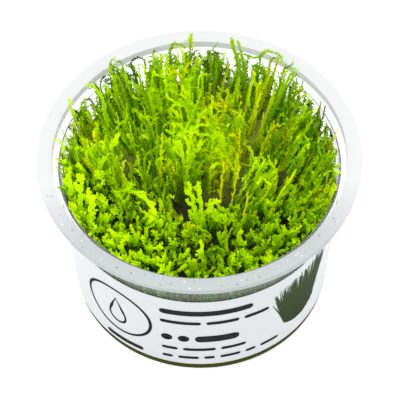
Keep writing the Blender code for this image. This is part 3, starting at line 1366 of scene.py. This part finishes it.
def front_frond(lines, rng, x, y, sink=0.0, dim=0.0):
    """A leafy frond of the front carpet: an upright stem, leaning and branched, bright at its tips."""
    turn = math.atan2(x, y)
    share = math.hypot(x, y) / INNER_RADIUS
    patch = math.sin(0.42 * x + 1.1) * math.cos(0.38 * y - 0.7) + 0.6 * math.sin(0.21 * (x - y))
    level = surface_level(x, y) - sink + 0.9 * patch + rng.gauss(0.3, 1.0)
    # Painted light: brighter towards the left and at the tips, with painted shade low on the stem.
    bright = blend_values(1.08, 0.73, smooth_step((x + 17.0) / 13.0)) + 0.10 * patch - dim
    lean = random_direction(rng) * rng.uniform(0.6, 3.4)
    lean.z = 0
    length = rng.uniform(8.0, 12.5)
    start = Vector((x, y, level - length)) - lean * 0.6
    end = Vector((x, y, level)) + lean * 0.6 + around(turn, 0.8 * share, 0.0)
    curl = random_direction(rng) * rng.uniform(0, 1.6)
    line = kept_inside(curve_points(start, end, random_direction(rng) * 0.8, curl, 10))
    face = (Vector((0, -0.75, 0.45)) + random_direction(rng) * 0.9).normalized()
    tint = min(1.0, rng.random() + 0.45 * smooth_step((x + 4.0) / 12.0))
    top = bright + rng.gauss(0.02, 0.12)

    def glow(part):
        return 0.10 + (top - 0.10) * smooth_step((part - 0.35) / 0.60)

    warm = rng.uniform(0.2, 0.6) if rng.random() < 0.05 else 0.0
    girth = rng.uniform(0.9, 1.2)
    lines.add(line, face, glow, tint, warm, girth)
    side = rng.choice((-1, 1))
    for at in (0.45, 0.58, 0.70, 0.80):
        if rng.random() < 0.42:
            lit = glow(at)
            reach = rng.uniform(1.6, 3.6)
            lights = (lit, min(1.0, lit + 0.28))
            branch(lines, line, at, side, reach, face, lights, tint, warm, girth * 0.85, rng)
        side = -side


def wall_stem(lines, rng, turn):
    """A stem pressed against the inside of the wall, darkened with painted shade."""
    top = crest(turn) - rng.uniform(0.5, 5.0)
    low = rng.uniform(14.0, 20.0)
    wall_low = inner_wall_mm(low) - rng.uniform(0.8, 2.2)
    wall_high = inner_wall_mm(min(top, 39.0)) - rng.uniform(0.8, 2.4)
    start = around(turn + rng.gauss(0, 0.05), wall_low, low)
    end = around(turn + rng.gauss(0, 0.05), wall_high, top)
    bow = around(turn + math.pi / 2, rng.gauss(0, 0.8), 0.0)
    line = kept_inside(curve_points(start, end, bow, bow * 0.5, 10))
    face = (around(turn, 1.0, 0.0) + random_direction(rng) * 0.5).normalized()
    # Painted shade: a low glow, darkest at the foot.
    lines.add(line, face, (0.16, rng.uniform(0.35, 0.62)), rng.random(), 0.0, rng.uniform(0.8, 1.1))


# Name, angles from the back, clumps at the wall and clumps on the bank
BACK_SECTORS = (
    ("stand_left", (-2.0, -0.75), 26, 23),
    ("stand_middle_left", (-0.75, 0.0), 14, 27),
    ("stand_middle_right", (0.0, 0.75), 14, 27),
    ("stand_right", (0.75, 2.0), 26, 23),
)
STEMS_EACH = 6
WALL_STEMS_EACH = 5
WALL_REACH = (23.5, 29.3)
BANK_REACH = (6.0, 25.0)
# Clumps at the wall get less painted light than those on the bank.
WALL_GLOW = 0.50
BANK_GLOW = 0.66


def shoots_between(turns):
    """The plain shoots of the frame that stand between two angles."""
    found = []
    for name in SHOOT_NODES:
        low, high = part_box(name)
        centre = (low + high) / 2
        if turns[0] < math.atan2(centre.x, centre.y) <= turns[1]:
            found.append(name)
    return found


def grow_back(grower):
    """The tall stand behind and at the sides, in four pieces."""
    for number, (name, turns, at_wall, on_bank) in enumerate(BACK_SECTORS):
        lines = Lines()
        rng = random.Random(100 + number)
        back_stand(lines, rng, turns, at_wall, WALL_STEMS_EACH, WALL_REACH, WALL_GLOW)
        back_stand(lines, rng, turns, on_bank, STEMS_EACH, BANK_REACH, BANK_GLOW)
        grower.piece(name, lines, shoots_between(turns), gap=1.1, length=0.95, taper=0.6, spread=0.9)


CARPET_FRONDS = 520
CARPET_GAP = 1.5


def grow_front(grower):
    """The low carpet in front, in two pieces."""
    rng = random.Random(300)
    places = spread_places(rng, CARPET_FRONDS, CARPET_GAP, in_carpet)
    for name, side in (("carpet_left", -1), ("carpet_right", 1)):
        lines = Lines()
        for x, y in places:
            if x * side > 0:
                front_frond(lines, rng, x, y)
        grower.piece(name, lines, gap=0.95)


UNDERGROWTH_FRONDS = 170
UNDERGROWTH_GAP = 2.1
UNDERGROWTH_FROM_Y = 4.0
UNDERGROWTH_SINK = 7.5
# How much painted shade dims the undergrowth
UNDERGROWTH_DIM = 0.34


def grow_under(grower):
    """Short fronds between the long stems of the bank, dimmed with painted shade."""
    rng = random.Random(350)
    lines = Lines()
    places = spread_places(rng, UNDERGROWTH_FRONDS, UNDERGROWTH_GAP, lambda x, y: y > UNDERGROWTH_FROM_Y)
    for x, y in places:
        front_frond(lines, rng, x, y, UNDERGROWTH_SINK, UNDERGROWTH_DIM)
    grower.piece("undergrowth", lines, gap=1.0)


# Single fronds that stand out: points along each in millimetres, glow at foot and tip, warmth and girth
SINGLE_FRONDS = (
    (((10.1, 22.0, 36.7), (8.6, 24.2, 44.0), (7.1, 25.5, 50.2)), 0.34, 0.62, 0.0, 1.15),
    (((10.1, 22.0, 36.7), (9.9, 24.4, 43.5), (8.8, 25.5, 49.1)), 0.34, 0.60, 0.0, 1.10),
    (((10.1, 24.5, 45.8), (11.6, 24.2, 44.9), (13.3, 24.0, 45.2), (14.2, 24.0, 46.2)),
     0.4, 0.6, 0.0, 0.85),
    (((13.2, 23.0, 40.0), (13.9, 24.0, 46.0), (16.1, 24.0, 47.0), (18.0, 24.0, 45.4), (18.3, 24.0, 43.2)),
     0.36, 0.74, 0.0, 1.0),
    (((-6.0, 25.5, 36.0), (-6.1, 27.0, 43.5), (-5.2, 27.2, 46.2), (-3.8, 27.0, 46.4), (-2.7, 27.0, 45.0)),
     0.32, 0.66, 0.0, 1.0),
    (((-1.8, 26.5, 39.0), (-1.6, 28.0, 44.5), (-1.3, 28.5, 48.4)), 0.30, 0.80, 0.0, 1.0),
    (((-19.6, 8.0, 37.0), (-20.2, 10.0, 42.0), (-20.8, 12.6, 45.4), (-22.3, 15.0, 46.8),
      (-24.2, 16.0, 46.6)),
     0.45, 0.78, 0.0, 1.0),
    (((-26.6, 11.0, 39.0), (-27.6, 12.0, 43.4), (-27.9, 12.4, 46.4)), 0.6, 1.0, 0.0, 1.2),
    (((-27.5, -1.0, 35.0), (-29.0, 0.6, 41.0), (-29.6, 3.0, 43.0), (-31.0, 4.0, 42.9)),
     0.6, 0.95, 0.0, 1.0),
    (((-23.0, -1.0, 34.5), (-20.8, 1.5, 38.6), (-17.4, 5.8, 42.4)), 0.6, 1.0, 0.0, 1.25),
    (((-3.2, 1.0, 27.0), (-2.6, 4.4, 32.0), (-1.7, 8.6, 39.6)), 0.6, 1.0, 0.1, 1.25),
    (((-2.8, 3.6, 31.0), (-3.8, 6.0, 35.0), (-4.4, 7.2, 37.6)), 0.6, 1.0, 0.1, 1.15),
    (((-2.5, 4.6, 32.5), (-0.6, 6.2, 35.4), (0.6, 7.6, 37.0)), 0.6, 1.0, 0.1, 1.15),
    (((0.2, -10.5, 25.0), (-1.2, -7.6, 32.0), (-2.4, -4.7, 38.2)), 0.6, 1.0, 0.0, 1.3),
    (((0.2, -10.5, 25.0), (0.2, -7.4, 32.0), (-0.4, -4.5, 38.2)), 0.6, 1.0, 0.0, 1.2),
    (((-0.6, -8.8, 29.0), (1.8, -6.8, 31.5), (3.6, -5.6, 33.5)), 0.55, 0.95, 0.2, 1.1),
    (((-18.0, -5.0, 31.0), (-16.0, -5.3, 36.4), (-12.4, -8.0, 38.4), (-9.4, -11.5, 36.4)),
     0.6, 1.0, 0.0, 1.15),
    (((-27.0, -9.0, 33.0), (-27.6, -6.5, 38.6), (-28.4, -3.8, 41.2)), 0.7, 1.0, 0.0, 1.35),
    (((-25.5, -10.0, 33.0), (-25.6, -8.0, 39.0), (-25.0, -5.0, 42.0)), 0.7, 1.0, 0.0, 1.35),
    (((-24.0, -13.0, 32.0), (-23.6, -11.6, 38.0), (-22.6, -9.4, 40.6)), 0.7, 1.0, 0.0, 1.35),
    (((8.4, 3.0, 29.0), (8.6, 6.0, 34.0), (9.0, 9.4, 39.0)), 0.3, 0.6, 0.8, 0.6),
    (((4.0, -4.0, 24.0), (4.6, -1.0, 31.0), (5.2, 2.2, 36.4)), 0.3, 0.8, 0.8, 0.65),
    (((6.2, -4.6, 25.0), (7.4, -1.6, 31.0), (8.6, 1.6, 35.6)), 0.3, 0.8, 0.7, 0.65),
    (((12.0, -10.4, 26.0), (16.0, -7.0, 33.0), (20.6, -2.4, 39.2)), 0.3, 0.85, 0.6, 0.75),
    (((9.0, -10.0, 25.0), (12.4, -6.6, 31.0), (16.4, -2.2, 37.0)), 0.3, 0.8, 0.5, 0.7),
    (((8.6, -11.4, 27.0), (9.6, -8.2, 32.4), (10.4, -5.6, 36.0)), 0.3, 0.6, 0.7, 0.6),
    (((-8.6, 1.0, 29.0), (-8.4, 4.4, 34.6), (-8.0, 8.0, 39.4)), 0.3, 0.8, 0.5, 0.7),
)


def smooth_line(waypoints, steps=5):
    """A rounded line through the given points."""
    points = [Vector(point) for point in waypoints]
    ends = [points[0] * 2 - points[1]] + points + [points[-1] * 2 - points[-2]]
    line = []
    for i in range(1, len(ends) - 2):
        before, here, there, after = ends[i - 1:i + 3]
        for step in range(steps):
            t = step / steps
            line.append(0.5 * (
                here * 2
                + (there - before) * t
                + (before * 2 - here * 5 + there * 4 - after) * (t * t)
                + (here * 3 - before - there * 3 + after) * (t * t * t)
            ))
    return line + [points[-1]]


# Factors on a single frond's girth and tip glow, and where its branches leave it
SINGLE_GIRTH = 0.82
SINGLE_GLOW = 0.92
SINGLE_BRANCHES = (0.4, 0.6, 0.8)


def grow_singles(grower):
    """The single fronds; those that stand over the rim stay unbranched."""
    rng = random.Random(500)
    lines = Lines()
    for waypoints, foot, tip, warm, girth in SINGLE_FRONDS:
        face = (Vector((0, -0.8, 0.5)) + random_direction(rng) * 0.6).normalized()
        line = [point + random_direction(rng) * 0.16 for point in smooth_line(waypoints)]
        girth *= SINGLE_GIRTH
        tip *= SINGLE_GLOW
        lines.add(line, face, (foot, tip), 0.3, warm, girth)
        if line[-1].z >= RIM_MM + 1.0:
            continue
        for at in SINGLE_BRANCHES:
            lit = (blend_values(foot, tip, at), tip)
            reach = rng.uniform(1.0, 2.6) * girth
            side = rng.choice((-1, 1))
            branch(lines, line, at, side, reach, face, lit, 0.3, warm, girth * 0.8, rng)
    grower.piece("single_fronds", lines, gap=0.85, taper=0.7)


WALL_STEMS = 300


def grow_wall(grower):
    """Stems pressed against the wall all round."""
    rng = random.Random(400)
    lines = Lines()
    for number in range(WALL_STEMS):
        wall_stem(lines, rng, 2 * math.pi * number / WALL_STEMS)
    grower.piece("wall_stems", lines, gap=1.5)


class MOSS_OT_fronds(bpy.types.Operator):
    """Grow the living fronds: back stand, front carpet, undergrowth, wall stems and single fronds."""

    bl_idname = "moss.fronds"
    bl_label = "Living fronds"

    def execute(self, context):
        grower = Grower(context.scene.moss_settings)
        grow_back(grower)
        grow_front(grower)
        grow_under(grower)
        grow_wall(grower)
        grow_singles(grower)
        return {"FINISHED"}


# ---------------------------------------------------------------- the stage

def camera_axes(elevation, roll):
    """The camera's right, up and back directions, seen from the front at an elevation."""
    back = Vector((0, -math.cos(elevation), math.sin(elevation)))
    up = Vector((0, math.sin(elevation), math.cos(elevation)))
    right = Vector((1, 0, 0))
    turned_right = right * math.cos(roll) + up * math.sin(roll)
    turned_up = up * math.cos(roll) - right * math.sin(roll)
    return turned_right, turned_up, back


# How far the camera aims from the middle of the rim, and where the lights hang
AIM_RIGHT = -0.04 * MM
AIM_UP = -9.4 * MM
KEY_PLACE = (-0.22, -0.20, 0.80)
FILL_PLACE = (0.45, 0.1, 0.6)
FILL_SHARE = 0.35
LIGHT_SIZE = 0.7
LIGHT_TARGET = (0, 0, 0.03)
FLOOR_HALF = 3.0


def make_camera(settings):
    """The camera, aimed a little below the middle of the rim."""
    data = bpy.data.cameras.new("camera")
    data.lens = settings.lens
    data.sensor_width = 36.0
    data.clip_start = 0.01
    data.clip_end = 50.0
    camera = link(bpy.data.objects.new("camera", data))
    right, up, back = camera_axes(settings.elevation, settings.roll)
    plain_right, plain_up, _ = camera_axes(settings.elevation, 0.0)
    aim = Vector((0, 0, CUP_HEIGHT)) + plain_right * AIM_RIGHT + plain_up * AIM_UP
    place = Matrix((right, up, back)).transposed().to_4x4()
    place.translation = aim + back * settings.distance
    camera.matrix_world = place
    bpy.context.scene.camera = camera


def make_light(name, power, place):
    """A large round soft box that looks at the tub."""
    data = bpy.data.lights.new(name, "AREA")
    data.energy = power
    data.shape = "DISK"
    data.size = LIGHT_SIZE
    light = link(bpy.data.objects.new(name, data))
    light.location = place
    light.rotation_euler = (Vector(place) - Vector(LIGHT_TARGET)).to_track_quat("Z", "Y").to_euler()


def floor_finish(settings):
    """White paper, faintly grained and lit a little from below."""
    finish = Finish("floor")
    grain = finish.noise(40.0, 2.0)
    surface = finish.principled(
        Base_Color=finish.mixed(grain, scaled_colour(settings.floor, 0.985), opaque(settings.floor)),
        Roughness=0.6,
        Specular_IOR_Level=0.1,
        Emission_Color=WHITE,
        Emission_Strength=settings.floor_glow,
    )
    return finish.done(surface)


def make_stage(settings):
    """The even room light, two soft boxes and the floor."""
    world = bpy.data.worlds.new("studio")
    world.use_nodes = True
    background = world.node_tree.nodes["Background"]
    background.inputs["Color"].default_value = WHITE
    background.inputs["Strength"].default_value = settings.world_light
    bpy.context.scene.world = world
    make_light("key", settings.key_power, KEY_PLACE)
    make_light("fill", settings.key_power * FILL_SHARE, FILL_PLACE)
    corners = [(FLOOR_HALF * x, FLOOR_HALF * y, 0) for x, y in ((-1, -1), (1, -1), (1, 1), (-1, 1))]
    floor = new_piece("floor", corners, [(0, 1, 2, 3)], False)
    floor.data.materials.append(floor_finish(settings))
    bpy.context.scene.view_settings.view_transform = "Standard"


class MOSS_OT_stage(bpy.types.Operator):
    """Set the floor, the lights and the camera."""

    bl_idname = "moss.stage"
    bl_label = "Stage"

    def execute(self, context):
        make_stage(context.scene.stage_settings)
        make_camera(context.scene.stage_settings)
        return {"FINISHED"}


# ---------------------------------------------------------------- the add-on

class VIEW3D_PT_moss_tub(bpy.types.Panel):
    """Lists what the add-on makes."""

    bl_label = "Moss tub"
    bl_space_type = "VIEW_3D"
    bl_region_type = "UI"
    bl_category = "Moss tub"

    def draw(self, context):
        for operator in OPERATORS:
            self.layout.operator(operator.bl_idname)


SETTINGS = {
    "tub_settings": TubSettings,
    "label_settings": LabelSettings,
    "moss_settings": MossSettings,
    "stage_settings": StageSettings,
}
OPERATORS = (MOSS_OT_stage, MOSS_OT_tub, MOSS_OT_label, MOSS_OT_base, MOSS_OT_fronds)


def register():
    for name, group in SETTINGS.items():
        bpy.utils.register_class(group)
        setattr(bpy.types.Scene, name, bpy.props.PointerProperty(type=group))
    for operator in OPERATORS:
        bpy.utils.register_class(operator)
    bpy.utils.register_class(VIEW3D_PT_moss_tub)


def unregister():
    bpy.utils.unregister_class(VIEW3D_PT_moss_tub)
    for operator in reversed(OPERATORS):
        bpy.utils.unregister_class(operator)
    for name, group in SETTINGS.items():
        delattr(bpy.types.Scene, name)
        bpy.utils.unregister_class(group)


def main():
    """Makes everything in order."""
    register()
    bpy.ops.moss.stage()
    bpy.ops.moss.tub()
    bpy.ops.moss.label()
    bpy.ops.moss.base()
    bpy.ops.moss.fronds()


if __name__ == "__main__":
    main()
